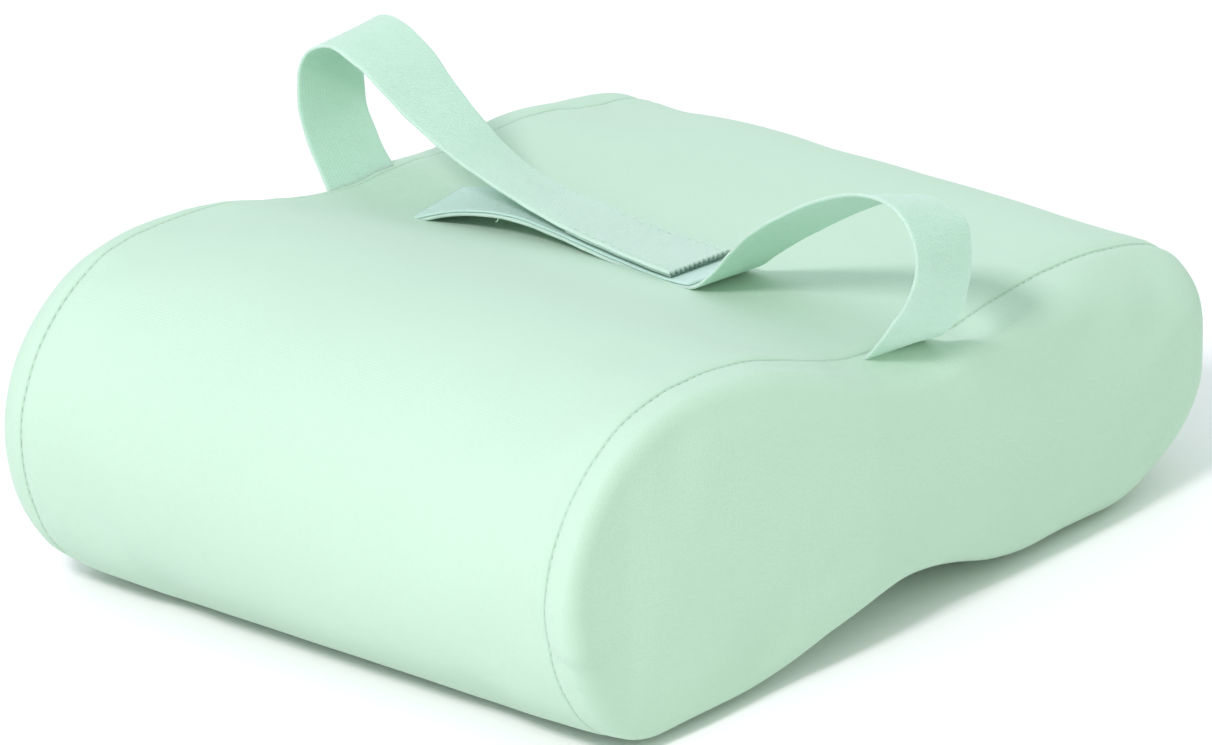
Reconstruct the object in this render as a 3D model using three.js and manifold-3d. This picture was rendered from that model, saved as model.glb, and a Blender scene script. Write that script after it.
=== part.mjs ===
// Knee separator cushion: an hourglass foam block in a zipped fabric cover, with a webbing strap
// that closes by hook and loop over the upper valley.
// Millimetres. X runs along the valleys, Y from the tall front lobe to the low back lobe, Z up.
import * as THREE from 'three';
import { mergeVertices } from 'three/addons/utils/BufferGeometryUtils.js';
import Module from 'manifold-3d';

const wasm = await Module();
wasm.setup();

// Cushion
const LENGTH = 200;            // along X
const FRONT_REACH = 122;       // front lobe, -Y
const BACK_REACH = 134;        // back lobe, +Y
const FRONT_HEIGHT = 90;
const BACK_HEIGHT = 72;
const FRONT_CREST_Y = -70;
const BACK_CREST_Y = 78;
const FRONT_MID_HEIGHT = 46;   // where the front lobe stands furthest out
const VALLEY = { y: 16, z: 67 };
const ARCH = { y: 7, z: 10 };
const FRONT_REST = [-86, -62]; // flat stretches that the cushion stands on, in Y
const BACK_REST = [64, 90];
const CURVE_STEPS = 8;         // points on each curve of the outline

// Between the seams the stretched cover lifts off the foam as it bridges the upper valley.
const BRIDGE = { lift: 5.6, y: 12, spread: 22, above: 50, steps: 8 };
const RIM_STEPS = 3;           // bands round each end rim

// Layers, as depths below the outer surface
const RIM_RADIUS = 13.6;
const COVER_THICKNESS = 1.2;
const TAPE_DEPTH = [1.5, 2.0];
const FOAM_DEPTH = 3.1;
const GAP = 0.35;

// End seams
const SEAM_X = LENGTH / 2 - RIM_RADIUS;
const SEAM_WIDTH = 0.6;
const SEAM_DEPTH = [0.1, 1.1];

// Zip, along X on the outermost strip of the back lobe
const ZIP_HEIGHT = 35.5;
const ZIP_WINDOW = 9;          // opening between the cover's two edges
const ZIP_TAPE_LENGTH = 166;
const ZIP_TAPE_SLOT = 1.4;     // between the two tapes
const CHAIN = [-76, 69];
const TOOTH_PITCH = 2.4;
const TOOTH = { root: 1.9, tip: -0.5, width: 0.9 };
const TOOTH_LEVEL = [-1.2, -0.1];
const SLIDER_X = 71;
const SLIDER = { length: 9, width: 7.4, corner: 1.6, top: [0.3, 1.1], bottom: [-2.75, -2.25] };
const LUG = { outer: 2.1, inner: 1.2, centre: 1.7, width: 1.5 };
const PULL = { length: 18, width: 5, thickness: 0.8, eye: 0.8, window: [3.6, 2.4] };
const PULL_AXIS = SLIDER.top[1] + 0.8;
const STOP = { length: 2, width: 1.6 };

// Strap
const WEB_WIDTH = 25;
const WEB_THICKNESS = 1;
const FASTENER_WIDTH = 24;
const FASTENER_THICKNESS = 0.8;
const FASTENER_DEPTH = WEB_THICKNESS / 2 + GAP + FASTENER_THICKNESS / 2;
const STEPS_PER_POINT = 3;
const STRAP_REACH = 105;       // how far the near loop stands out along X

// Both routes run from left to right. A row is x, y, z on the middle line, and how much further out
// of the loop, or up, the front edge stands than the back edge.
const LEFT_ROUTE = [
  [-SEAM_X, 13, 70.7, 0], [-92, 13, 80, 0], [-97, 13.4, 89.6, 0], [-98.4, 13.8, 100.6, 1],
  [-96.8, 14.3, 109.6, 0], [-89.9, 14.9, 114, -1], [-79, 15.6, 110, 0], [-65, 16.5, 98.5, 2.5],
  [-49.5, 17.4, 88.4, 6], [-34.3, 18.1, 83, 6], [-17, 18.7, 79.9, 4], [1, 19, 77.6, 3], [20, 19.2, 77.5, 3],
];
const RIGHT_ROUTE = [
  [-62.5, 17, 72.2, -2], [-50, 18, 74.4, 0], [-34, 18.6, 76.2, 2], [-17, 19, 75.8, 3], [1, 19, 73.8, 3],
  [20, 19, 73.7, 3], [35, 18.3, 79.6, -6], [48, 17.5, 89, -8], [63, 16.7, 98.4, -4.5],
  [78.7, 15.8, 105.9, 0], [91, 15.1, 112.4, 6.5], [99, 14.5, 112, 8], [103, 14, 105, 3],
  [103.5, 13.5, 95, 0], [100.3, 13.2, 86, -3], [92.5, 13, 77, -3], [SEAM_X, 13, 70.7, 0],
];
const HOOK_START = 10.15;      // a tape's place along its route, counted in rows from the route's start
const LOOP_END = 5.4;

// Colours
const MINT = 0xd9f5e3;
const WEB = 0xceebdd;
const HOOK = 0xb8d9cc;
const LOOP = 0xadcfc3;
const ZIP_GREEN = 0xc4e6d3;
const FOAM = 0xf1ead2;

function material(color, roughness, metalness = 0) {
  return new THREE.MeshStandardMaterial({ color, roughness, metalness });
}

function named(name, geometry, look) {
  const mesh = new THREE.Mesh(geometry, look);
  mesh.name = name;
  return mesh;
}

// ---- Solids from rows of points ----

function signedVolume(points, faces) {
  return faces.reduce((sum, [a, b, c]) => {
    return sum + points[a].dot(new THREE.Vector3().crossVectors(points[b], points[c])) / 6;
  }, 0);
}

function capFaces(loop, first) {
  const along = new THREE.Vector3().subVectors(loop[1], loop[0]).normalize();
  const normal = new THREE.Vector3();
  loop.forEach((p, i) => normal.add(new THREE.Vector3().crossVectors(p, loop[(i + 1) % loop.length])));
  const across = new THREE.Vector3().crossVectors(normal.normalize(), along);
  const flat = loop.map((p) => new THREE.Vector2(p.dot(along), p.dot(across)));
  return THREE.ShapeUtils.triangulateShape(flat, []).map((face) => face.map((i) => i + first));
}

// A closed solid through loops of equally many points. It ends in flat caps, or joins up as a ring.
function loft(loops, ring = false) {
  const count = loops[0].length;
  const points = loops.flat();
  const faces = [];
  const bands = ring ? loops.length : loops.length - 1;
  for (let j = 0; j < bands; j++) {
    const near = j * count;
    const far = ((j + 1) % loops.length) * count;
    for (let i = 0; i < count; i++) {
      const k = (i + 1) % count;
      faces.push([near + i, near + k, far + k], [near + i, far + k, far + i]);
    }
  }
  if (!ring) {
    faces.push(...capFaces(loops[0], 0).map(([a, b, c]) => [a, c, b]));
    faces.push(...capFaces(loops.at(-1), points.length - count));
  }
  if (signedVolume(points, faces) < 0) faces.forEach((face) => face.reverse());
  const geometry = new THREE.BufferGeometry().setFromPoints(points);
  geometry.setIndex(faces.flat());
  geometry.computeVertexNormals();
  return geometry;
}

// ---- Outline of the cushion, as (y, z) points ----

// It starts at the top of the zip window, runs over the lobes and under them, and ends at the
// bottom of the window.
function outline() {
  const zipTop = ZIP_HEIGHT + ZIP_WINDOW / 2;
  const zipBottom = ZIP_HEIGHT - ZIP_WINDOW / 2;
  const path = new THREE.Path();
  path.moveTo(BACK_REACH, zipTop);
  path.bezierCurveTo(BACK_REACH, zipTop + 24, BACK_CREST_Y + 44, BACK_HEIGHT, BACK_CREST_Y, BACK_HEIGHT);
  path.bezierCurveTo(BACK_CREST_Y - 28, BACK_HEIGHT, VALLEY.y + 20, VALLEY.z, VALLEY.y, VALLEY.z);
  path.bezierCurveTo(VALLEY.y - 20, VALLEY.z, FRONT_CREST_Y + 42, FRONT_HEIGHT, FRONT_CREST_Y, FRONT_HEIGHT);
  path.bezierCurveTo(FRONT_CREST_Y - 34, FRONT_HEIGHT, -FRONT_REACH, FRONT_MID_HEIGHT + 20,
    -FRONT_REACH, FRONT_MID_HEIGHT);
  path.bezierCurveTo(-FRONT_REACH, FRONT_MID_HEIGHT - 16, FRONT_REST[0] - 24, 0, FRONT_REST[0], 0);
  path.lineTo(FRONT_REST[1], 0);
  path.bezierCurveTo(FRONT_REST[1] + 27, 0, ARCH.y - 14, ARCH.z, ARCH.y, ARCH.z);
  path.bezierCurveTo(ARCH.y + 15, ARCH.z, BACK_REST[0] - 22, 0, BACK_REST[0], 0);
  path.lineTo(BACK_REST[1], 0);
  path.bezierCurveTo(BACK_REST[1] + 22, 0, BACK_REACH, zipBottom - 17, BACK_REACH, zipBottom);
  return path.getPoints(CURVE_STEPS);
}

const OUTLINE = outline();

// The outline moved inwards. Its points run anticlockwise, so inwards is to their left.
function inset(depth) {
  return OUTLINE.map((p, i) => {
    const before = OUTLINE.at(i - 1);
    const after = OUTLINE[(i + 1) % OUTLINE.length];
    const arriving = new THREE.Vector2().subVectors(p, before).normalize();
    const leaving = new THREE.Vector2().subVectors(after, p).normalize();
    const tangent = arriving.add(leaving).normalize();
    return new THREE.Vector2(p.x - tangent.y * depth, p.y + tangent.x * depth);
  });
}

function loopAt(x, section) {
  return section.map((p) => new THREE.Vector3(x, p.x, p.y));
}

// Loops round an end rim, from the seam to the end face, for a layer at the given depth.
function rimLoops(side, depth, start = SEAM_X) {
  const radius = RIM_RADIUS - depth;
  const loops = [loopAt(side * start, inset(depth))];
  for (let i = 1; i <= RIM_STEPS; i++) {
    const angle = (i / RIM_STEPS) * Math.PI / 2;
    const x = SEAM_X + radius * Math.sin(angle);
    loops.push(loopAt(side * x, inset(depth + radius * (1 - Math.cos(angle)))));
  }
  return loops;
}

// A solid of constant section along X, between two lines of (y, z) points.
function strip(outer, inner, from, to) {
  const section = [...outer, ...[...inner].reverse()];
  return loft([loopAt(from, section), loopAt(to, section)]);
}

// ---- Foam and cover ----

function foamCore() {
  return loft([...rimLoops(-1, FOAM_DEPTH).reverse(), ...rimLoops(1, FOAM_DEPTH)]);
}

function bridged(x, p) {
  if (p.y < BRIDGE.above) return p;
  const alongX = (1 - (x / SEAM_X) ** 2) ** 1.5;
  const alongY = Math.exp(-(((p.x - BRIDGE.y) / BRIDGE.spread) ** 2));
  return new THREE.Vector2(p.x, p.y + BRIDGE.lift * alongX * alongY);
}

function coverWrap() {
  const reach = SEAM_X - SEAM_WIDTH / 2 - GAP;
  const section = [...inset(0), ...inset(COVER_THICKNESS).reverse()];
  const loops = [];
  for (let i = 0; i <= BRIDGE.steps; i++) {
    const x = reach * (2 * i / BRIDGE.steps - 1);
    loops.push(loopAt(x, section.map((p) => bridged(x, p))));
  }
  return loft(loops);
}

// A dish: the inner surface from the end face back to the seam, then the outer one out again.
function coverEnd(side) {
  const start = SEAM_X + SEAM_WIDTH / 2 + GAP;
  return loft([...rimLoops(side, COVER_THICKNESS, start).reverse(), ...rimLoops(side, 0, start)]);
}

function endSeam(side) {
  const inner = side * (SEAM_X - SEAM_WIDTH / 2);
  const outer = side * (SEAM_X + SEAM_WIDTH / 2);
  const [high, low] = SEAM_DEPTH.map(inset);
  return loft([loopAt(inner, high), loopAt(outer, high), loopAt(outer, low), loopAt(inner, low)], true);
}

// ---- Zip: X along the chain, Y down the cushion, Z out of its surface ----

function block(x, y, z) {
  const box = new THREE.BoxGeometry(x[1] - x[0], y[1] - y[0], z[1] - z[0]);
  return box.translate((x[0] + x[1]) / 2, (y[0] + y[1]) / 2, (z[0] + z[1]) / 2);
}

function slab(shape, z) {
  const solid = new THREE.ExtrudeGeometry(shape, { depth: z[1] - z[0], bevelEnabled: false, curveSegments: 4 });
  return solid.translate(0, 0, z[0]);
}

function mirrored(range, side) {
  return side > 0 ? range : [-range[1], -range[0]];
}

function roundedRectangle(x, y, radius) {
  const shape = new THREE.Shape();
  shape.moveTo(x[0] + radius, y[0]);
  shape.lineTo(x[1] - radius, y[0]);
  shape.absarc(x[1] - radius, y[0] + radius, radius, -Math.PI / 2, 0);
  shape.absarc(x[1] - radius, y[1] - radius, radius, 0, Math.PI / 2);
  shape.absarc(x[0] + radius, y[1] - radius, radius, Math.PI / 2, Math.PI);
  shape.absarc(x[0] + radius, y[0] + radius, radius, Math.PI, Math.PI * 1.5);
  return shape;
}

// A tape lies under one edge of the cover and bends with it. Up is towards the outline's first points.
function zipTape(isUpper) {
  const edge = ZIP_HEIGHT + (isUpper ? 1 : -1) * ZIP_TAPE_SLOT / 2;
  const line = (depth) => {
    const slotEdge = new THREE.Vector2(BACK_REACH - depth, edge);
    const section = inset(depth);
    const sewn = isUpper ? section.slice(0, 2) : section.slice(-2).reverse();
    return [slotEdge, ...sewn];
  };
  const [outer, inner] = TAPE_DEPTH.map(line);
  return strip(outer, inner, -ZIP_TAPE_LENGTH / 2, ZIP_TAPE_LENGTH / 2);
}

// One row of teeth is a comb. The two rows mesh half a pitch apart.
function zipTeeth(side) {
  const shape = new THREE.Shape();
  const base = 1.2;
  shape.moveTo(CHAIN[0], side * TOOTH.root);
  shape.lineTo(CHAIN[0], side * base);
  const first = CHAIN[0] + (side > 0 ? 0.3 : 0.3 + TOOTH_PITCH / 2);
  for (let x = first; x + TOOTH.width < CHAIN[1]; x += TOOTH_PITCH) {
    shape.lineTo(x, side * base);
    shape.lineTo(x, side * TOOTH.tip);
    shape.lineTo(x + TOOTH.width, side * TOOTH.tip);
    shape.lineTo(x + TOOTH.width, side * base);
  }
  shape.lineTo(CHAIN[1], side * base);
  shape.lineTo(CHAIN[1], side * TOOTH.root);
  return slab(shape, TOOTH_LEVEL);
}

function topStop(side) {
  const x = SLIDER_X + SLIDER.length / 2 + 1;
  const y = mirrored([ZIP_TAPE_SLOT / 2, ZIP_TAPE_SLOT / 2 + STOP.width], side);
  return block([x, x + STOP.length], y, TOOTH_LEVEL);
}

function bottomStop() {
  const x = CHAIN[0] - GAP;
  return block([x - STOP.length, x], [-TOOTH.root, TOOTH.root], TOOTH_LEVEL);
}

function solidOf(geometry) {
  const bare = geometry.clone();
  bare.deleteAttribute('normal');
  bare.deleteAttribute('uv');
  const merged = mergeVertices(bare);
  return new wasm.Manifold(new wasm.Mesh({
    numProp: 3,
    vertProperties: merged.attributes.position.array,
    triVerts: new Uint32Array(merged.index.array),
  }));
}

function joined(...geometries) {
  const whole = geometries.map(solidOf).reduce((sum, solid) => sum.add(solid)).getMesh();
  const geometry = new THREE.BufferGeometry();
  geometry.setAttribute('position', new THREE.BufferAttribute(whole.vertProperties, 3));
  geometry.setIndex(new THREE.BufferAttribute(whole.triVerts, 1));
  geometry.computeVertexNormals();
  return geometry;
}

// The lug is an arch over the pull's eye bar, drawn in the plane of travel.
function sliderLug() {
  const foot = SLIDER.top[1] - 0.3;
  const shape = new THREE.Shape();
  shape.moveTo(LUG.outer, foot);
  shape.absarc(0, LUG.centre, LUG.outer, 0, Math.PI);
  shape.lineTo(-LUG.outer, foot);
  shape.lineTo(-LUG.inner, foot);
  shape.absarc(0, LUG.centre, LUG.inner, Math.PI, 0, true);
  shape.lineTo(LUG.inner, foot);
  return slab(shape, [-LUG.width / 2, LUG.width / 2]).rotateX(Math.PI / 2);
}

// Two plates joined by a post, which runs in the slot between the tapes. Flanges hold the teeth.
function zipSlider() {
  const halfLength = SLIDER.length / 2;
  const halfWidth = SLIDER.width / 2;
  const plate = roundedRectangle([-halfLength, halfLength], [-halfWidth, halfWidth], SLIDER.corner);
  const middle = [SLIDER.bottom[0] + 0.2, SLIDER.top[1] - 0.2];
  const flange = (side) => {
    const y = mirrored([halfWidth - 0.6, halfWidth], side);
    return block([-halfLength + SLIDER.corner, halfLength - SLIDER.corner], y, [-1.2, SLIDER.top[1] - 0.3]);
  };
  return joined(
    slab(plate, SLIDER.top), slab(plate, SLIDER.bottom), block([2.4, 4], [-0.35, 0.35], middle),
    flange(1), flange(-1), sliderLug(),
  );
}

// The pull lies back over the closed chain. Its own origin is on the hinge line.
function zipPull() {
  const eye = PULL.eye / 2;
  const shape = roundedRectangle([eye - PULL.length, eye], [-PULL.width / 2, PULL.width / 2], 1.2);
  const [length, width] = PULL.window;
  const corners = [[-eye, -1], [-eye - length, -1], [-eye - length, 1], [-eye, 1]];
  shape.holes.push(new THREE.Path(corners.map(([x, side]) => new THREE.Vector2(x, side * width / 2))));
  return slab(shape, [-PULL.thickness / 2, PULL.thickness / 2]);
}

function zip() {
  const textile = material(ZIP_GREEN, 0.85);
  const plastic = material(ZIP_GREEN, 0.45);
  const metal = material(0xc9ccca, 0.35, 0.9);
  const slider = named('zipper_slider', zipSlider(), metal);
  const pull = named('zipper_pull', zipPull(), metal);
  slider.position.set(SLIDER_X, 0, 0);
  pull.position.set(SLIDER_X, 0, PULL_AXIS);
  const group = new THREE.Group();
  group.position.set(0, BACK_REACH, ZIP_HEIGHT);
  group.rotation.x = -Math.PI / 2;
  group.add(
    named('zipper_teeth_upper', zipTeeth(-1), plastic), named('zipper_teeth_lower', zipTeeth(1), plastic),
    named('zipper_top_stop_upper', topStop(-1), metal), named('zipper_top_stop_lower', topStop(1), metal),
    named('zipper_bottom_stop', bottomStop(), metal), slider, pull,
  );
  const whole = new THREE.Group();
  whole.add(
    named('zipper_tape_upper', zipTape(true), textile), named('zipper_tape_lower', zipTape(false), textile),
    group,
  );
  return whole;
}

// ---- Strap ----

// A flat band along part of a route, lying the given depth under its middle line.
function band(route, width, thickness, depth = 0, first = 0, end = route.length - 1) {
  const last = route.length - 1;
  const middle = new THREE.CatmullRomCurve3(route.map(([x, y, z]) => new THREE.Vector3(x, y, z)));
  const leans = new THREE.CatmullRomCurve3(route.map((row) => new THREE.Vector3(0, 0, row[3])));
  leans.curveType = 'catmullrom';
  const steps = Math.round((end - first) * STEPS_PER_POINT);
  const loops = [];
  for (let i = 0; i <= steps; i++) {
    const t = (first + (end - first) * i / steps) / last;
    const along = middle.getTangent(t);
    const across = new THREE.Vector3(0, 1, 0).projectOnPlane(along).normalize();
    across.applyAxisAngle(along, -Math.asin(leans.getPoint(t).z / WEB_WIDTH));
    const up = new THREE.Vector3().crossVectors(along, across);
    const corner = (side, height) => middle.getPoint(t)
      .addScaledVector(across, side * width / 2)
      .addScaledVector(up, height - depth);
    const half = thickness / 2;
    loops.push([corner(-1, -half), corner(1, -half), corner(1, half), corner(-1, half)]);
  }
  return loft(loops);
}

function straps() {
  const web = material(WEB, 0.8);
  const group = new THREE.Group();
  group.add(
    named('strap_left', band(LEFT_ROUTE, WEB_WIDTH, WEB_THICKNESS), web),
    named('strap_right', band(RIGHT_ROUTE, WEB_WIDTH, WEB_THICKNESS), web),
    named('hook_tape', band(LEFT_ROUTE, FASTENER_WIDTH, FASTENER_THICKNESS, FASTENER_DEPTH, HOOK_START),
      material(HOOK, 0.7)),
    named('loop_tape', band(RIGHT_ROUTE, FASTENER_WIDTH, FASTENER_THICKNESS, -FASTENER_DEPTH, 0, LOOP_END),
      material(LOOP, 0.95)),
  );
  return group;
}

// ---- The whole cushion, with its origin on the floor at the middle of its box ----

const fabric = material(MINT, 0.9);
const thread = material(MINT, 0.7);
const cushion = new THREE.Group();
cushion.position.x = -(STRAP_REACH - LENGTH / 2) / 2;
cushion.position.y = -(BACK_REACH + LUG.centre + LUG.outer - FRONT_REACH) / 2;
cushion.add(
  named('foam_core', foamCore(), material(FOAM, 0.95)),
  named('cover_wrap', coverWrap(), fabric),
  named('cover_end_near', coverEnd(1), fabric),
  named('cover_end_far', coverEnd(-1), fabric),
  named('seam_near', endSeam(1), thread),
  named('seam_far', endSeam(-1), thread),
  zip(),
  straps(),
);

const root = new THREE.Group();
root.add(cushion);
export default root;
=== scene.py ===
"""A knee separator cushion: an hourglass foam block in a zipped mint cover, with a webbing strap
that closes by hook and loop over the upper valley.

Shapes are worked out in millimetres in the cushion's own frame, whose X = 0 is halfway between the
end faces and whose Y = 0 lies between the lobes. placed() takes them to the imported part's frame.
"""
import math

import bpy
import numpy as np
from mathutils import Matrix, Vector, noise


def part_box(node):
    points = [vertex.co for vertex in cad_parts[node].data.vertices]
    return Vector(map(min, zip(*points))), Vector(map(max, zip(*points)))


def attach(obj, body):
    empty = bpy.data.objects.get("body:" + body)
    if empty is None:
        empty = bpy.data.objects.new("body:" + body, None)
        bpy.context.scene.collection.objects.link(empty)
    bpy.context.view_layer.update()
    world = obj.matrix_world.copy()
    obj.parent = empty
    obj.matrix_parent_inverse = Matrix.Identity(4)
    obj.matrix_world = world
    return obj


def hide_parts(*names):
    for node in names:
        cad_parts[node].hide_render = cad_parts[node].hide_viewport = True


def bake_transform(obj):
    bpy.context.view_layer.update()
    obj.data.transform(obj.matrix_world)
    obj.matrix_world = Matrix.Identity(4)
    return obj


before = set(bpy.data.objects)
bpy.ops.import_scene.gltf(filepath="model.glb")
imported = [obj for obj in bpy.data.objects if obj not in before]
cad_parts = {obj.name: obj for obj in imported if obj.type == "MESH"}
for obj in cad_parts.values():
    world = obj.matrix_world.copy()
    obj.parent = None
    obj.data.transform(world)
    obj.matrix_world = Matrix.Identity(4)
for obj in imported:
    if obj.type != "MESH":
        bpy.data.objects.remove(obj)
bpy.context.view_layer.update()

# ---- Driving dimensions, millimetres ----

LENGTH = 200
FRONT_REACH, BACK_REACH = 122, 134
FRONT_HEIGHT, BACK_HEIGHT = 90, 72
FRONT_CREST_Y, BACK_CREST_Y = -70, 78
FRONT_MID_HEIGHT = 46
VALLEY_Y, VALLEY_Z = 16, 67
ARCH_Y, ARCH_Z = 7, 10
FRONT_REST = (-86, -62)
BACK_REST = (64, 90)
ZIP_Z = 35.5
ZIP_HALF_WINDOW = 4.5
ZIP_HALF_LENGTH = 81

RIM_RADIUS = 13.6
TIGHT_CORNER = 5                # of the rim where the foam's edge shows through
SEAM_X = LENGTH / 2 - RIM_RADIUS
SEAM_HALF_WIDTH = 0.06
COVER_THICKNESS = 1.1
FOAM_DEPTH = 6
FACE_CROWN = 0.7
SPINE = (-82, 94)               # where the middle line of an end face begins and ends, in Y

WEB_WIDTH, WEB_THICKNESS = 25, 0.9
FASTENER_WIDTH, FASTENER_THICKNESS = 24, 0.7
FASTENER_DEPTH = 0.8            # between the middle lines of a strap half and its tape

# Strap routes, from left to right: x, y, z on the middle line, and how much further out the front
# edge stands than the back edge. The first and last rows are the ends caught in the seams.
LEFT_ROUTE = [
    (-85.6, 13, 65.5, 0), (-86.4, 13, 70.7, 0), (-92, 13, 80, 0), (-97, 13.4, 89.6, 0),
    (-98.4, 13.8, 100.6, 1), (-96.8, 14.3, 109.6, 0), (-89.9, 14.9, 114, -1), (-79, 15.6, 110, 0),
    (-65, 16.5, 98.5, 2.5), (-49.5, 17.4, 88.4, 6), (-34.3, 18.1, 82.8, 6), (-17, 18.7, 79.4, 4),
    (1, 19, 77.1, 3), (20, 19.2, 76, 1.8),
]
RIGHT_ROUTE = [
    (-65.3, 17, 70.9, -1.5), (-50, 18, 75.2, 1.5), (-34, 18.6, 77, 3.5), (-17, 19, 76, 3.5),
    (1, 19, 74, 3), (18, 19, 73.2, 2.2), (28.5, 18.8, 74.4, 2), (35.2, 18.6, 79.6, 2.5),
    (42, 18.3, 86, 4.6), (49.5, 17.9, 92.3, 6.5), (59, 17.4, 99, 7.3), (72, 16.7, 106.6, 7.8),
    (86, 15.9, 111.8, 7.7), (95.5, 15.3, 111.2, 7), (101.4, 14.9, 106.6, 3.5), (103, 14.5, 99, 2),
    (101.4, 14, 90, -1), (97.9, 13.5, 82, -4.5), (92.6, 13.2, 75, -4), (87.6, 13, 71, -1),
    (85.6, 13, 65.5, 0),
]
HOOK_START = 11.15              # a tape's place along its route, counted in rows
LOOP_END = 5.9
THREAD_X = -36

# The taut cover bridges the upper valley.
BRIDGE = {"lift": 6.2, "y": 12, "spread": 22, "power": 1.5}
# The strap's ends pull the cover up at the seams, and elsewhere it sinks or fills out a little:
# x, y, lift, spread in x, spread in y
TUGS = [
    (-91, 18, 8, 17, 27),
    (88, 12, 2.4, 11, 14),
    (76, 12, 3.6, 26, 24),
    (97, 31, 2.2, 6, 7),
    (97, 50, 1.6, 7, 7),
    (90, 39, -1.6, 5, 6),
    (-80, 107, -4.6, 26, 21),
    (68, 118, 0.3, 16, 16),
    (102, 112, -4.4, 15, 20),
    (-84, -62, -1.6, 22, 26),
]

# The ranges below are ramps: where they start, and the distance they take to reach their full share.
UPPER_SIDE = (42, 14)           # in Z, for the bridge and the tugs
NEAR_ROUND = (40, 70)           # in Y, for the near rim's corner, which turns from tight to round
FAR_TIGHT_Y, FAR_TIGHT_Z = (0, 40), (40, 20)    # for the far rim's corner, half of which tightens
PINCHED = (10, 90)              # in -Y, for the rims' lack of reach at the front
NEAR_PINCH, FAR_PINCH = 0.36, 0.09              # the share of its reach that a rim lacks there
END_EASE = 1.7                  # how far the underside rises at a seam
EASE_REACH, EASE_HEIGHT = 30, 30                # where the rise starts before a seam, and ends in Z
EASE_BACK, EASE_BACK_LOSS = (60, 50), 0.8       # in Y, for the share of the rise lost at the back


def ramp(value, start, over):
    """0 up to start, then evenly up to 1."""
    return np.clip((value - start) / over, 0, 1)


def soft_step(value, softness):
    """0 well below zero and 1 well above it."""
    return 1 / (1 + np.exp(-np.clip(value / softness, -50, 50)))


def hollow(distance, width):
    """1 at a distance of 0, and fading to both sides."""
    return np.exp(-(distance / width) ** 2)


def placed(points):
    """Points in the cushion's frame, in millimetres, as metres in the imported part's frame."""
    return np.asarray(points, float) * 0.001 + ORIGIN


far_lo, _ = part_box("cover_end_far")
_, near_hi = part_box("cover_end_near")
wrap_lo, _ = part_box("cover_wrap")
ORIGIN = np.array([(far_lo.x + near_hi.x) / 2, wrap_lo.y + FRONT_REACH * 0.001, 0.0])


# ---- Camera ----

CAMERA_AZIMUTH, CAMERA_ELEVATION, CAMERA_ROLL = (math.radians(a) for a in (40.104, 22.943, -0.949))
CAMERA_DISTANCE = 3585.2
CAMERA_AIM = (2.75, 43.16)      # right of and above the cushion's origin, in the picture's plane
CAMERA_LENS = 415.8


def make_camera():
    data = bpy.data.cameras.new("camera")
    data.lens = CAMERA_LENS
    data.sensor_width = 36
    data.clip_start, data.clip_end = 0.1, 50
    back = Vector((math.sin(CAMERA_AZIMUTH) * math.cos(CAMERA_ELEVATION),
                   -math.cos(CAMERA_AZIMUTH) * math.cos(CAMERA_ELEVATION), math.sin(CAMERA_ELEVATION)))
    level = Vector((math.cos(CAMERA_AZIMUTH), math.sin(CAMERA_AZIMUTH), 0))
    upright = back.cross(level)
    right = level * math.cos(CAMERA_ROLL) + upright * math.sin(CAMERA_ROLL)
    up = back.cross(right)
    place = back * CAMERA_DISTANCE + right * CAMERA_AIM[0] + up * CAMERA_AIM[1]
    camera = bpy.data.objects.new("camera", data)
    turn = Matrix((right, up, back)).transposed().to_4x4()
    camera.matrix_world = Matrix.Translation(Vector(placed(place))) @ turn
    bpy.context.scene.collection.objects.link(camera)
    bpy.context.scene.camera = camera


# ---- Materials ----

def add_node(tree, kind, inputs=(), **settings):
    node = tree.nodes.new(kind)
    for key, value in settings.items():
        setattr(node, key, value)
    for key, value in dict(inputs).items():
        if isinstance(value, bpy.types.NodeSocket):
            tree.links.new(value, node.inputs[key])
        else:
            node.inputs[key].default_value = value
    return node


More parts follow.
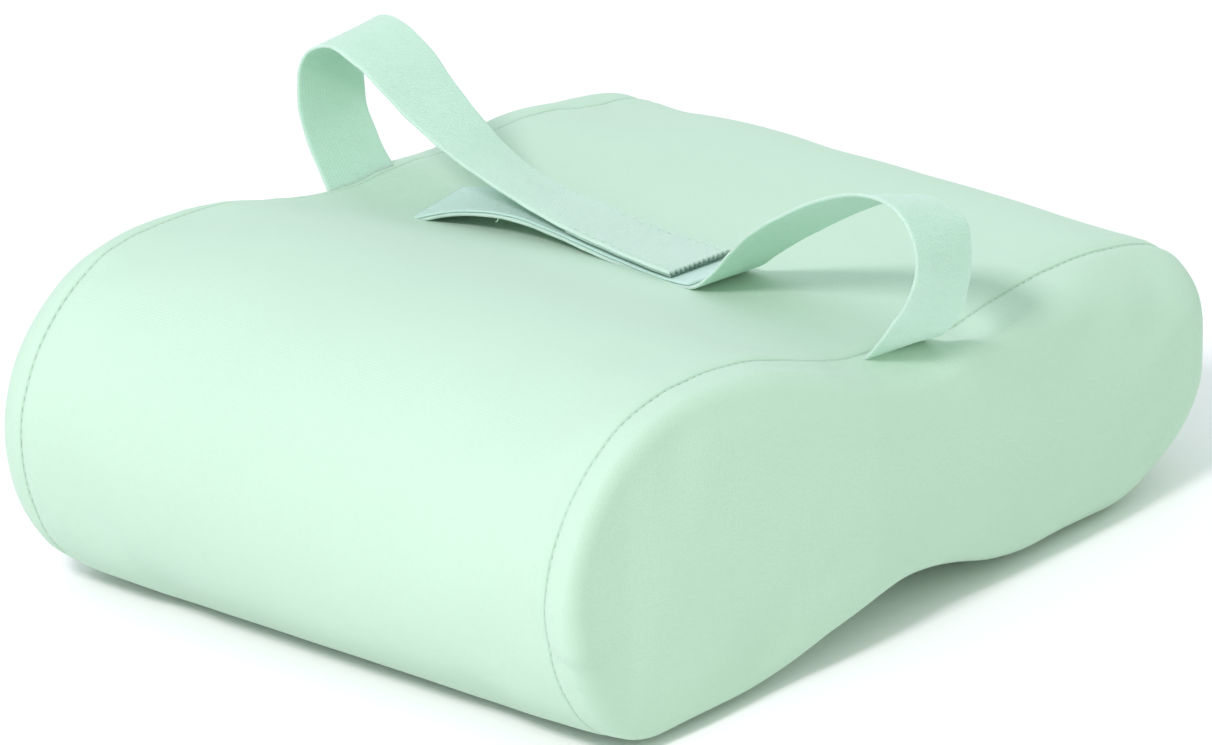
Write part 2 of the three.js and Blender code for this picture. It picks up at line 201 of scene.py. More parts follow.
class Nodes:
    """Short calls for the nodes of one material."""

    def __init__(self, name, roughness, metallic=0.0, sheen=0.0):
        self.look = bpy.data.materials.new(name)
        self.look.use_nodes = True
        self.tree = self.look.node_tree
        self.shader = self.tree.nodes["Principled BSDF"]
        self.shader.inputs["Roughness"].default_value = roughness
        self.shader.inputs["Metallic"].default_value = metallic
        self.shader.inputs["Sheen Weight"].default_value = sheen
        self.shader.inputs["Sheen Roughness"].default_value = 0.6

    def add(self, kind, inputs=(), **settings):
        return add_node(self.tree, kind, inputs, **settings)

    def maths(self, operation, a, b=0.0):
        return self.add("ShaderNodeMath", {0: a, 1: b}, operation=operation).outputs[0]

    def mix(self, *shares):
        """The sum of values, each given with its share."""
        total = self.maths("MULTIPLY", *shares[0])
        for value, share in shares[1:]:
            total = self.maths("ADD", total, self.maths("MULTIPLY", value, share))
        return total

    def object_place(self):
        return self.add("ShaderNodeTexCoord").outputs["Object"]

    def noise(self, scale, detail=2.0, vector=None):
        """Cloudy values about 0.5, with features 1/scale metres across."""
        where = vector or self.object_place()
        node = self.add("ShaderNodeTexNoise", {"Vector": where, "Scale": scale, "Detail": detail})
        return node.outputs["Fac"]

    def diagonals(self, scale, distortion):
        inputs = {"Vector": self.object_place(), "Scale": scale, "Distortion": distortion}
        return self.add("ShaderNodeTexWave", inputs, bands_direction="DIAGONAL").outputs["Fac"]

    def weave_uv(self):
        """Places across and along the weave, in millimetres."""
        uv = self.add("ShaderNodeUVMap", uv_map="weave").outputs["UV"]
        parts = self.add("ShaderNodeSeparateXYZ", {0: uv})
        return parts.outputs["X"], parts.outputs["Y"]

    def knit(self, wale, course):
        """Height of a jersey knit: columns of small V stitches."""
        across, along = self.weave_uv()
        rows = self.maths("FRACT", self.maths("DIVIDE", along, course))
        fold = self.maths("ABSOLUTE", self.maths("SUBTRACT", rows, 0.5))
        columns = self.maths("FRACT", self.maths("DIVIDE", across, wale))
        ridge = self.maths("ABSOLUTE", self.maths("SUBTRACT", columns, 0.5))
        return self.maths("SINE", self.maths("MULTIPLY", self.maths("ADD", ridge, fold), math.tau))

    def woven(self, warp, weft):
        """Height of a plain weave: warp and weft threads pass over each other in turn."""
        across, along = self.weave_uv()
        u = self.maths("DIVIDE", across, warp)
        v = self.maths("DIVIDE", along, weft)
        over = self.maths("SINE", self.maths("MULTIPLY", self.maths("FRACT", u), math.pi))
        under = self.maths("SINE", self.maths("MULTIPLY", self.maths("FRACT", v), math.pi))
        cells = self.maths("ADD", self.maths("FLOOR", u), self.maths("FLOOR", v))
        turn = self.maths("MODULO", cells, 2.0)
        mixed = self.add("ShaderNodeMix", {"Factor": turn, 2: over, 3: under}, data_type="FLOAT")
        return mixed.outputs[0]

    def colour(self, value, low, high):
        """Runs the base colour from low to high with value."""
        node = self.add("ShaderNodeValToRGB", {"Fac": value})
        for stop, place, tone in zip(node.color_ramp.elements, (0.3, 0.7), (low, high)):
            stop.position = place
            stop.color = (*tone, 1)
        self.tree.links.new(node.outputs["Color"], self.shader.inputs["Base Color"])

    def bump(self, height, distance, strength=1.0):
        """distance is the height's full range, in metres."""
        node = self.add("ShaderNodeBump", {"Height": height, "Distance": distance, "Strength": strength})
        self.tree.links.new(node.outputs["Normal"], self.shader.inputs["Normal"])

    def thin(self, weight, reach):
        """Lets some light through. reach is how far it spreads, in metres."""
        self.shader.inputs["Subsurface Weight"].default_value = weight
        self.shader.inputs["Subsurface Radius"].default_value = (1.0, 1.15, 1.0)
        self.shader.inputs["Subsurface Scale"].default_value = reach

    def rough(self, value, low, high):
        spread = self.add("ShaderNodeMapRange", {"Value": value, "To Min": low, "To Max": high})
        self.tree.links.new(spread.outputs["Result"], self.shader.inputs["Roughness"])


def tint(colour, share):
    return tuple(min(1.0, c * share) for c in colour)


MINT = (0.475, 0.667, 0.525)
WEB_MINT = (0.485, 0.685, 0.57)
LOOP_MINT = (0.48, 0.70, 0.625)
HOOK_MINT = (0.46, 0.66, 0.57)
THREAD_MINT = (0.48, 0.69, 0.53)
TAPE_MINT = (0.50, 0.72, 0.59)
TEETH_MINT = (0.52, 0.75, 0.62)
FOAM_CREAM = (0.84, 0.78, 0.56)
ZIP_STEEL = (0.58, 0.60, 0.59)


def cover_material():
    n = Nodes("cover_jersey", 0.9, sheen=0.15)
    clouds = n.mix((n.noise(14, 3), 0.7), (n.noise(900, 2), 0.3))
    n.colour(clouds, tint(MINT, 0.975), tint(MINT, 1.02))
    n.bump(n.mix((n.knit(0.9, 0.7), 0.3), (n.noise(2200, 4), 1.2)), 0.00004)
    n.rough(n.noise(500), 0.82, 0.96)
    return n.look


def webbing_material():
    n = Nodes("webbing", 0.85, sheen=0.12)
    clouds = n.mix((n.noise(40, 3), 0.6), (n.noise(1500, 2), 0.4))
    n.colour(clouds, tint(WEB_MINT, 0.95), tint(WEB_MINT, 1.04))
    n.bump(n.maths("ADD", n.woven(1.1, 0.55), n.noise(2500, 3)), 0.00006)
    n.rough(n.noise(900), 0.72, 0.92)
    n.thin(0.6, 0.0028)
    return n.look


def loop_material():
    n = Nodes("brushed_loop", 0.97, sheen=0.3)
    curls = n.noise(1900, 5)
    n.colour(curls, tint(LOOP_MINT, 0.93), tint(LOOP_MINT, 1.05))
    n.bump(n.maths("ADD", n.maths("MULTIPLY", curls, 1.5), n.noise(600, 2)), 0.0002)
    return n.look


def hook_material():
    n = Nodes("hook_tape", 0.6)
    across, along = n.weave_uv()
    where = n.add("ShaderNodeCombineXYZ", {"X": across, "Y": along}).outputs[0]
    hooks = n.add("ShaderNodeTexVoronoi", {"Vector": where, "Scale": 1.1, "Randomness": 0.15})
    n.colour(hooks.outputs["Distance"], tint(HOOK_MINT, 1.05), tint(HOOK_MINT, 0.8))
    n.bump(n.maths("SUBTRACT", 1.0, hooks.outputs["Distance"]), 0.0003)
    return n.look


def thread_material():
    n = Nodes("sewing_thread", 0.7, sheen=0.1)
    twist = n.diagonals(260, 2.0)
    n.colour(twist, tint(THREAD_MINT, 0.94), tint(THREAD_MINT, 1.06))
    n.bump(twist, 0.00005)
    return n.look


def foam_material():
    n = Nodes("open_cell_foam", 0.95)
    cells = n.add("ShaderNodeTexVoronoi", {"Vector": n.object_place(), "Scale": 1100})
    n.colour(cells.outputs["Distance"], tint(FOAM_CREAM, 1.08), tint(FOAM_CREAM, 0.85))
    n.bump(cells.outputs["Distance"], 0.0003)
    return n.look


def zip_tape_material():
    n = Nodes("zip_tape_twill", 0.85, sheen=0.1)
    n.colour(n.noise(300, 3), tint(TAPE_MINT, 0.94), tint(TAPE_MINT, 1.05))
    n.bump(n.diagonals(450, 0.6), 0.00012)
    n.rough(n.noise(700), 0.78, 0.92)
    return n.look


def zip_teeth_material():
    n = Nodes("moulded_teeth", 0.42)
    n.colour(n.noise(260, 2), tint(TEETH_MINT, 0.96), tint(TEETH_MINT, 1.03))
    n.bump(n.noise(3000, 2), 0.00003)
    n.rough(n.noise(800), 0.36, 0.5)
    return n.look


def zip_metal_material():
    n = Nodes("brushed_metal", 0.35, metallic=0.92)
    drawn_out = n.add("ShaderNodeMapping", {"Vector": n.object_place(), "Scale": (0.15, 1, 1)})
    lines = n.noise(4500, 3, drawn_out.outputs[0])
    n.colour(lines, tint(ZIP_STEEL, 0.9), tint(ZIP_STEEL, 1.08))
    n.bump(lines, 0.00003)
    n.rough(lines, 0.28, 0.46)
    return n.look


# ---- Meshes ----

def mesh_piece(name, points, faces, look, uv=None, girth=0.0):
    """A smooth mesh object from points in millimetres. uv has one pair for each point, and where its
    first number starts again at 0 after a whole girth, the faces there carry on past the girth."""
    mesh = bpy.data.meshes.new(name)
    mesh.from_pydata([tuple(p) for p in placed(points)], [], faces)
    mesh.polygons.foreach_set("use_smooth", [True] * len(mesh.polygons))
    if uv is not None:
        corners = np.zeros(len(mesh.loops), np.int32)
        mesh.loops.foreach_get("vertex_index", corners)
        pairs = np.array(uv, np.float32)[corners]
        face_of = np.repeat(np.arange(len(faces)), [len(f) for f in faces])
        highest = np.zeros(len(faces))
        np.maximum.at(highest, face_of, pairs[:, 0])
        pairs[:, 0] += girth * (highest[face_of] - pairs[:, 0] > max(girth, 1) / 2)
        layer = mesh.uv_layers.new(name="weave")
        layer.data.foreach_set("uv", pairs.ravel())
    mesh.materials.append(look)
    mesh.validate()
    mesh.update()
    piece = bpy.data.objects.new(name, mesh)
    bpy.context.scene.collection.objects.link(piece)
    return piece


def grid_faces(ids, ring=False):
    """Quads between the rows of a table of point numbers, with triangles where points coincide."""
    faces = []
    rows, columns = ids.shape
    for r in range(rows - 1):
        for c in range(columns if ring else columns - 1):
            d = (c + 1) % columns
            quad = (ids[r, c], ids[r + 1, c], ids[r + 1, d], ids[r, d])
            corners = dict.fromkeys(int(i) for i in quad)
            if len(corners) > 2:
                faces.append(tuple(corners))
    return faces


def thicken(piece, thickness):
    solid = piece.modifiers.new("thickness", "SOLIDIFY")
    solid.thickness = thickness * 0.001
    solid.offset = -1
    return piece


# ---- Outline of the cushion, as (y, z) points ----

def bezier(a, b, c, d, steps=60):
    t = np.linspace(0, 1, steps)[:, None]
    a, b, c, d = (np.array(p, float) for p in (a, b, c, d))
    return a * (1 - t) ** 3 + 3 * b * t * (1 - t) ** 2 + 3 * c * t ** 2 * (1 - t) + d * t ** 3


def chain(*stretches):
    points = np.vstack([np.atleast_2d(np.array(s, float)) for s in stretches])
    keep = np.r_[True, np.linalg.norm(np.diff(points, axis=0), axis=1) > 1e-6]
    return points[keep]


def upper_chain():
    """From the front-most point over the lobes to the middle of the zip."""
    return chain(
        bezier((-FRONT_REACH, FRONT_MID_HEIGHT), (-FRONT_REACH, FRONT_MID_HEIGHT + 20),
               (FRONT_CREST_Y - 34, FRONT_HEIGHT), (FRONT_CREST_Y, FRONT_HEIGHT)),
        bezier((FRONT_CREST_Y, FRONT_HEIGHT), (FRONT_CREST_Y + 42, FRONT_HEIGHT),
               (VALLEY_Y - 20, VALLEY_Z), (VALLEY_Y, VALLEY_Z)),
        bezier((VALLEY_Y, VALLEY_Z), (VALLEY_Y + 20, VALLEY_Z),
               (BACK_CREST_Y - 28, BACK_HEIGHT), (BACK_CREST_Y, BACK_HEIGHT)),
        bezier((BACK_CREST_Y, BACK_HEIGHT), (BACK_CREST_Y + 44, BACK_HEIGHT),
               (BACK_REACH, ZIP_Z + ZIP_HALF_WINDOW + 24), (BACK_REACH, ZIP_Z + ZIP_HALF_WINDOW)),
        (BACK_REACH, ZIP_Z),
    )


def lower_chain():
    """From the front-most point under the lobes to the middle of the zip."""
    return chain(
        bezier((-FRONT_REACH, FRONT_MID_HEIGHT), (-FRONT_REACH, FRONT_MID_HEIGHT - 16),
               (FRONT_REST[0] - 24, 0), (FRONT_REST[0], 0)),
        bezier((FRONT_REST[1], 0), (FRONT_REST[1] + 27, 0), (ARCH_Y - 14, ARCH_Z), (ARCH_Y, ARCH_Z)),
        bezier((ARCH_Y, ARCH_Z), (ARCH_Y + 15, ARCH_Z), (BACK_REST[0] - 22, 0), (BACK_REST[0], 0)),
        bezier((BACK_REST[1], 0), (BACK_REST[1] + 22, 0),
               (BACK_REACH, ZIP_Z - ZIP_HALF_WINDOW - 17), (BACK_REACH, ZIP_Z - ZIP_HALF_WINDOW)),
        (BACK_REACH, ZIP_Z),
    )


def lengths(points):
    return np.r_[0, np.cumsum(np.linalg.norm(np.diff(points, axis=0), axis=1))]


def unit(vectors):
    return vectors / np.linalg.norm(vectors, axis=1)[:, None]


class Outline:
    """Points round the cushion at about the given spacing: over the top, then back underneath."""

    def __init__(self, spacing):
        upper, lower = upper_chain(), lower_chain()
        window = max(1, round(ZIP_HALF_WINDOW / spacing))
        steps = round(lengths(upper)[-1] / spacing)
        top, self.top_run = self.sampled(upper, steps, window)
        bottom, bottom_run = self.sampled(lower, steps, window)
        self.half = len(top) - 1
        self.points = np.vstack([top, bottom[-2:0:-1]])
        self.run = np.r_[self.top_run, self.top_run[-1] + bottom_run[-1] - bottom_run[-2:0:-1]]
        self.count = len(self.points)
        self.girth = self.top_run[-1] + bottom_run[-1]
        # Places that don't depend on the spacing: 0 at the front, 1 at the zip, and up to 2 underneath
        over = np.linspace(0, 1, self.half + 1)
        self.place = np.r_[over, 2 - over[-2:0:-1]]
        self.mirror = np.array([(self.count - i) % self.count for i in range(self.count)])
        ahead = np.roll(self.points, -1, axis=0) - self.points
        behind = self.points - np.roll(self.points, 1, axis=0)
        tangent = unit(unit(ahead) + unit(behind))
        self.normals = np.stack([-tangent[:, 1], tangent[:, 0]], 1)

    @staticmethod
    def sampled(points, steps, window):
        run = lengths(points)
        edge = run[-1] - ZIP_HALF_WINDOW
        across_window = np.linspace(edge, run[-1], window + 1)
        stations = np.r_[np.linspace(0, edge, steps - window + 1), across_window[1:]]
        found = np.stack([np.interp(stations, run, points[:, i]) for i in (0, 1)], 1)
        return found, stations

    def inset(self, depth):
        return self.points - self.normals * np.broadcast_to(depth, self.count)[:, None]

    def on_spine(self, loop, values):
        """Values given round an end loop, as they are on the line that the end face shrinks to."""
        middle = (loop + loop[self.mirror]) / 2
        y = np.clip(middle[:, 0], *SPINE)
        return y, np.interp(y, middle[: self.half + 1, 0], values[: self.half + 1])

    def spine(self, loop):
        return np.stack(self.on_spine(loop, (loop + loop[self.mirror])[:, 1] / 2), 1)


# ---- The cushion's surface ----

def corner_radii(outline, side):
    """The rim's corner at each point of the outline: round at the back of the near end, and round at
    the far end but on top of its back lobe."""
    y, z = outline.points.T
    if side > 0:
        roundness = ramp(y, *NEAR_ROUND)
    else:
        roundness = 1 - ramp(y, *FAR_TIGHT_Y) * ramp(z, *FAR_TIGHT_Z) / 2
    return TIGHT_CORNER + (RIM_RADIUS - TIGHT_CORNER) * roundness


def rim_profile(t, corner, reach):
    """How far out and how far inward the rim has gone. It runs level, turns its corner and meets
    the end face, and t = 1 is as far inward as it is out."""
    level, arc = reach - corner, corner * math.pi / 2
    run = t * (2 * level + arc)
    angle = np.clip((run - level) / corner, 0, math.pi / 2)
    out = np.minimum(run, level) + corner * np.sin(angle)
    return out, corner * (1 - np.cos(angle)) + np.maximum(run - level - arc, 0)


def ring_at(outline, u, depth=0.0):
    """One ring of points round the cushion. u is 0 at the middle, 1 at the near seam, 2 where the near
    rim ends and 3 on the middle line of the near end face, and minus that on the far side."""
    side, a = (1 if u >= 0 else -1), abs(u)
    corner = np.maximum(corner_radii(outline, side) - depth, 1)
    out, inward = rim_profile(min(max(a - 1, 0), 1), corner, RIM_RADIUS - depth)
    loop = outline.inset(depth + inward)
    x = min(a, 1) * SEAM_X + out
    if a > 2:
        share = a - 2
        loop = loop + (outline.spine(loop) - loop) * share
        x = x + FACE_CROWN * (1 - math.cos(share * math.pi)) / 2
    return lifted(np.column_stack([side * x, loop]), depth)


def lifted(points, depth):
    """The bridge and the tugs on the upper side, the pinched rims and the eased underside. The foam
    follows the cover only where it sinks."""
    x, y, z = points.T
    across = np.clip(1 - (x / SEAM_X) ** 2, 0, 1) ** BRIDGE["power"]
    rise = BRIDGE["lift"] * across * hollow(y - BRIDGE["y"], BRIDGE["spread"])
    for tug_x, tug_y, lift, spread_x, spread_y in TUGS:
        rise = rise + lift * hollow(x - tug_x, spread_x) * hollow(y - tug_y, spread_y)
    if depth >= FOAM_DEPTH:
        rise = np.minimum(rise, 0)
    pinch = np.where(x > 0, NEAR_PINCH, FAR_PINCH) * ramp(-y, *PINCHED)
    x = x - np.sign(x) * pinch * np.clip(np.abs(x) - SEAM_X, 0, None)
    kept = 1 - EASE_BACK_LOSS * (1 - np.cos(math.pi * ramp(y, *EASE_BACK))) / 2
    towards_end = np.clip((np.abs(x) - SEAM_X + EASE_REACH) / EASE_REACH, 0, None)
    ease = END_EASE * towards_end ** 2 * np.clip(1 - z / EASE_HEIGHT, 0, 1) * kept
    return np.column_stack([x, y, z + rise * ramp(z, *UPPER_SIDE) + ease])


def surface(outline, ring_places, depth=0.0):
    return np.array([ring_at(outline, u, depth) for u in ring_places])


def ring_table(outline, ring_places):
    """Point numbers of the rings. The points that meet on an end face's middle line are one point."""
    ids = np.arange(len(ring_places) * outline.count).reshape(len(ring_places), outline.count)
    for row, u in enumerate(ring_places):
        if abs(u) < 3 - 1e-9:
            continue
        points = ring_at(outline, u)
        first = {}
        for column in range(outline.count):
            key = tuple(np.round(points[column], 4))
            ids[row, column] = first.setdefault(key, ids[row, column])
    return ids


def compact(points, ids):
    """Drops points that no face uses."""
    used, renumbered = np.unique(ids, return_inverse=True)
    return points.reshape(-1, points.shape[-1])[used], renumbered.reshape(ids.shape), used


# ---- Cloth: the closed cover is blown up a little, held at its seams, its zip and its flat feet ----

COARSE = 4.5
START_DEPTH = 0.9               # how far inside the cushion's surface the cover starts
START_EASED = (0.7, 16)         # the share of it that is missing at a seam, and how far that reaches
MOST_SWELL = 1.8
HELD_MARGIN = 0.4
SIMULATION_FRAMES = 20
CLOTH = {
    "quality": 6, "mass": 0.15, "tension_stiffness": 12, "compression_stiffness": 12,
    "shear_stiffness": 4, "bending_stiffness": 0.4, "shrink_min": -0.012, "use_pressure": True,
    "uniform_pressure_force": 4, "vertex_group_mass": "held",
}
SMOOTHING, FACE_SMOOTHING = 26, 40


def end_places(rim_rows, face_rows):
    """Ring places from a seam to the middle line of its end face."""
    return np.r_[np.linspace(1, 2, rim_rows), np.linspace(2, 3, face_rows)[1:]]


def coarse_rings():
    wrap = np.linspace(-1, 1, 2 * round(SEAM_X / COARSE) + 1)
    end = end_places(7, 11)[1:]
    return np.r_[-end[::-1], wrap, end]


def swell(look):
    """(ring places, outline places, how far each point of the cover moved, in millimetres)."""
    outline = Outline(COARSE)
    rings = coarse_rings()
    start = surface(outline, rings, START_DEPTH)
    moved = np.zeros_like(start)
    points, ids, used = compact(start, ring_table(outline, rings))
    cover = mesh_piece("cloth_study", points, grid_faces(ids, ring=True), look)
    held = cover.vertex_groups.new(name="held")
    ring_of = np.repeat(rings, outline.count)[used]
    still = np.abs(np.abs(ring_of) - 1) < 1e-6
    still |= points[:, 2] < START_DEPTH + HELD_MARGIN
    still |= points[:, 1] > BACK_REACH - START_DEPTH - HELD_MARGIN
    held.add([int(i) for i in np.flatnonzero(still)], 1.0, "REPLACE")
    cloth = cover.modifiers.new("cloth", "CLOTH")
    for key, value in CLOTH.items():
        setattr(cloth.settings, key, value)
    cloth.settings.effector_weights.gravity = 0
    cloth.point_cache.frame_end = SIMULATION_FRAMES
    for number in range(1, SIMULATION_FRAMES + 1):
        bpy.context.scene.frame_set(number)
    blown = cover.evaluated_get(bpy.context.evaluated_depsgraph_get())
    after = np.array([v.co for v in blown.data.vertices], float)
    travel = (after - placed(points)) * 1000
    far = np.linalg.norm(travel, axis=1)
    travel *= (MOST_SWELL * np.tanh(far / MOST_SWELL) / np.maximum(far, 1e-9))[:, None]
    moved = travel[ids]
    bpy.data.objects.remove(cover)
    bpy.context.scene.frame_set(1)
    return rings, outline.place, moved


def spread_travel(study, ring_places, outline):
    """The study's travel at the places of a finer table of points."""
    rings, places, moved = study
    closed_places = np.r_[places, 2.0]
    closed = np.concatenate([moved, moved[:, :1]], axis=1)
    found = np.zeros((len(ring_places), outline.count, 3))
    for axis in range(3):
        along = np.array([np.interp(outline.place, closed_places, row) for row in closed[:, :, axis]])
        found[:, :, axis] = np.array([np.interp(ring_places, rings, column) for column in along.T]).T
    for _ in range(SMOOTHING):
        found = eased_round(found)
        found[1:-1] = (found[:-2] + 2 * found[1:-1] + found[2:]) / 4
    # An end face closes on its middle line, so there both halves move alike, and only outwards.
    share = np.clip(np.abs(ring_places) - 2, 0, 1)[:, None, None]
    even = found
    for _ in range(FACE_SMOOTHING):
        even = eased_round(even)
    even = (even + even[:, outline.mirror]) / 2 * np.array([1.0, 0, 0])
    loop = outline.inset(RIM_RADIUS)
    for row in np.flatnonzero(np.abs(ring_places) > 2):
        even[row, :, 0] = outline.on_spine(loop, even[row, :, 0])[1]
    return found * (1 - share) + even * share


def eased_round(values):
    """Values smoothed a little round the outline."""
    return (np.roll(values, 1, 1) + 2 * values + np.roll(values, -1, 1)) / 4


# ---- Fine cover panels ----

FINE = 1.5
FACE_FLAT = (2.3, 0.3)          # the ramp in ring places by which an end face counts as flat
FACE_REACH = 30                 # from a rim to its face's middle line
SEED_STEP = (17.3, 5.1, 9.7)
CLOUD_GAIN = 1.6

# Relief along a seam, as height, distance from the seam, and width
SEAM_GROOVE, SEAM_ROLL = (-0.24, 0, 0.8), (0.12, 2.6, 1.3)
WRAP_GROOVE = (-0.1, 4.4, 0.7)
STILL_GROOVE = (-0.22, 0, 0.8)
# Unevenness, as height, size and seed, and for the puckers their distance from the seam and width
PUCKERS = [(0.22, 8, 1, 1.5, 5), (0.2, 21, 2, 8, 12)]
BROAD_WAVES, SMALL_WAVES = (0.12, 55, 3), (0.05, 14, 4)
WAVES_START = (0, 12)

# The tuck in the near rim: how far under the front-most point it lies, its height, its slant about a
# pivot, how sharp its edge is and how far it fades, and its distance from the seam and width
FOLD = {"run": 12, "height": 1.6, "slant": 0.5, "pivot": 8, "edge": 0.8, "fade": 16}
FOLD_ACROSS = (9, 8)

# Where the cover keeps its place: past the zip's ends, beside the zip, and above the flat feet
STILL_PAST_ZIP, STILL_BESIDE_ZIP, STILL_FOOT = (9, 8), (7, 14), (0.5, 8)

# The turned edge beside the zip, and its row of stitches
HEM = {"height": 0.35, "width": 11.5, "edge": 0.4}
HEM_END = (4, 2)
HEM_STITCHES, HEM_GROOVE = 8.6, (0.3, 0.8)


def surface_normals(points, ring_places):
    along = np.gradient(points, axis=0)
    round_it = (np.roll(points, -1, 1) - np.roll(points, 1, 1)) / 2
    normal = np.cross(along, round_it)
    normal /= np.maximum(np.linalg.norm(normal, axis=2, keepdims=True), 1e-9)
    # Towards an end face's middle line the rings close up, and the face is all but flat.
    flat = ramp(np.abs(ring_places), *FACE_FLAT)[:, None, None]
    level = np.sign(ring_places)[:, None, None] * np.array([1.0, 0, 0])
    normal = normal * (1 - flat) + level * flat
    return normal / np.linalg.norm(normal, axis=2, keepdims=True)


def clouds(points, size, seed):
    """Smooth values from about -1 to 1, with features the given size across."""
    shift = Vector([seed * part for part in SEED_STEP])
    flat = points.reshape(-1, 3) / size
    found = [noise.noise(Vector(p) + shift) for p in flat]
    return np.array(found).reshape(points.shape[:-1]) * CLOUD_GAIN


def seam_distance(ring_places):
    a = np.abs(ring_places)
    rim = np.clip(a - 1, 0, 1) * RIM_RADIUS * math.pi / 2
    return np.where(a <= 1, (1 - a) * SEAM_X, rim + np.clip(a - 2, 0, 1) * FACE_REACH)


def fine_detail(points, ring_places, outline):
    """How far each point of a panel stands out, for seams, puckers and soft unevenness."""
    apart = seam_distance(ring_places)[:, None]
    on_wrap = (np.abs(ring_places) <= 1)[:, None]
    out = relief(apart, SEAM_GROOVE) + relief(apart, SEAM_ROLL) + relief(apart, WRAP_GROOVE) * on_wrap
    for height, size, seed, place, width in PUCKERS:
        out = out + clouds(points, size, seed) * relief(apart, (height, place, width))
    height, size, seed = BROAD_WAVES
    out = out + height * clouds(points, size, seed) * ramp(apart, *WAVES_START)
    height, size, seed = SMALL_WAVES
    out = out + height * clouds(points, size, seed)
    return out + corner_fold(ring_places, outline)


def relief(apart, shape):
    height, place, width = shape
    return height * hollow(apart - place, width)


def corner_fold(ring_places, outline):
    """A tuck across the near rim, low on the front lobe, where the end panel's fullness is eased in."""
    apart = seam_distance(ring_places)[:, None]
    near = (ring_places > 1)[:, None]
    above = outline.run + FOLD["run"] + FOLD["slant"] * (apart - FOLD["pivot"])
    above = (above + outline.girth / 2) % outline.girth - outline.girth / 2
    fade = np.exp(-np.clip(above, 0, None) / FOLD["fade"])
    place, width = FOLD_ACROSS
    rise = FOLD["height"] * soft_step(above, FOLD["edge"]) * fade
    return near * rise * hollow(apart - place, width)


def zip_distance(outline):
    return np.abs(outline.run - outline.top_run[-1])


def before_zip_end(points, past, over):
    """1 along the zip and 0 beyond it, with a ramp that ends the given distance past the zip."""
    return ramp(ZIP_HALF_LENGTH + past - np.abs(points[..., 0]), 0, over)


def quiet(outline, points):
    """0 at the zip and on the flat feet, where the cover keeps its place, and 1 away from them."""
    beside = 1 - ramp(zip_distance(outline), *STILL_BESIDE_ZIP)
    beside = beside * before_zip_end(points, *STILL_PAST_ZIP)
    return (1 - beside) * ramp(points[..., 2], *STILL_FOOT)


def hem(outline, points):
    """The turned edge beside the zip, and the row of stitches sunk in it."""
    to_zip = zip_distance(outline)
    depth, width = HEM_GROOVE
    raised = HEM["height"] * soft_step(HEM["width"] - to_zip, HEM["edge"])
    return before_zip_end(points, *HEM_END) * (raised - depth * hollow(to_zip - HEM_STITCHES, width))


def panel_points(outline, ring_places, study):
    points = surface(outline, ring_places, 0)
    calm = quiet(outline, points)[..., None]
    from_seam = seam_distance(ring_places)[:, None, None]
    eased, reach = START_EASED
    start = surface_normals(points, ring_places) * -START_DEPTH * (1 - eased * hollow(from_seam, reach))
    points = points + (start + spread_travel(study, ring_places, outline)) * calm
    normals = surface_normals(points, ring_places)
    out = fine_detail(points, ring_places, outline) * calm[..., 0] + hem(outline, points)
    out = out + relief(from_seam[..., 0], STILL_GROOVE) * (1 - calm[..., 0])
    points = points + normals * out[..., None]
    points[..., 2] = np.maximum(points[..., 2], 0)
    return points


def panel_uv(outline, ring_places, points):
    """Across and along the knit, in millimetres: round the cushion and along X, or flat on an end."""
    if np.max(np.abs(ring_places)) <= 1:
        return np.stack(np.broadcast_arrays(outline.run, points[..., 0]), -1)
    return points[..., 1:3]


def panel(name, study, ring_places, look, window=False):
    outline = Outline(FINE)
    table = panel_points(outline, ring_places, study)
    uv = panel_uv(outline, ring_places, table)
    points, ids, used = compact(table, ring_table(outline, ring_places))
    faces = grid_faces(ids, ring=True)
    if window:
        gone = zip_distance(outline)[used % outline.count] < ZIP_HALF_WINDOW + 0.1
        gone &= np.abs(points[:, 0]) < ZIP_HALF_LENGTH
        faces = [f for f in faces if not all(gone[i] for i in f)]
        kept = sorted({i for f in faces for i in f})
        renumber = {old: new for new, old in enumerate(kept)}
        faces = [tuple(renumber[i] for i in f) for f in faces]
        points, used = points[kept], used[kept]
    girth = outline.girth if window else 0
    piece = mesh_piece(name, points, faces, look, uv.reshape(-1, 2)[used], girth)
    return thicken(piece, COVER_THICKNESS), table


RIM_ROWS, RIM_SPREAD = 24, 1.1
FACE_ROWS = 17
WRAP_EDGE_ROWS = (0.8, 1.5, 2.2, 3.0, 3.7, 4.4, 5.1)    # millimetres before the seam


def end_rings(side):
    edge = 1 + SEAM_HALF_WIDTH / (RIM_RADIUS * math.pi / 2)
    rim = edge + (2 - edge) * np.linspace(0, 1, RIM_ROWS) ** RIM_SPREAD
    rings = np.r_[rim, np.linspace(2, 3, FACE_ROWS)[1:]]
    return rings if side > 0 else -rings[::-1]


def wrap_rings():
    """Rings close together at the seams."""
    steps = round(2 * SEAM_X / FINE)
    reach = 1 - SEAM_HALF_WIDTH / SEAM_X
    close = (SEAM_X - np.array(WRAP_EDGE_ROWS)) / SEAM_X
    middle = np.linspace(-close[-1], close[-1], steps)
    return np.r_[-reach, -close[:-1], middle, close[-2::-1], reach]


# ---- Stitches ----

STITCH_SIDES, STITCH_RINGS = 6, 5
STITCH_ARCH, STITCH_SET = 1.2, 0.5      # how far a stitch rises and is set in the fabric, in radii
STITCH_TIP = 0.45                       # the thickness of its ends, as a share of its middle's
SEAM_STITCH_LOWEST = 0.45               # so that no stitch sinks into the table


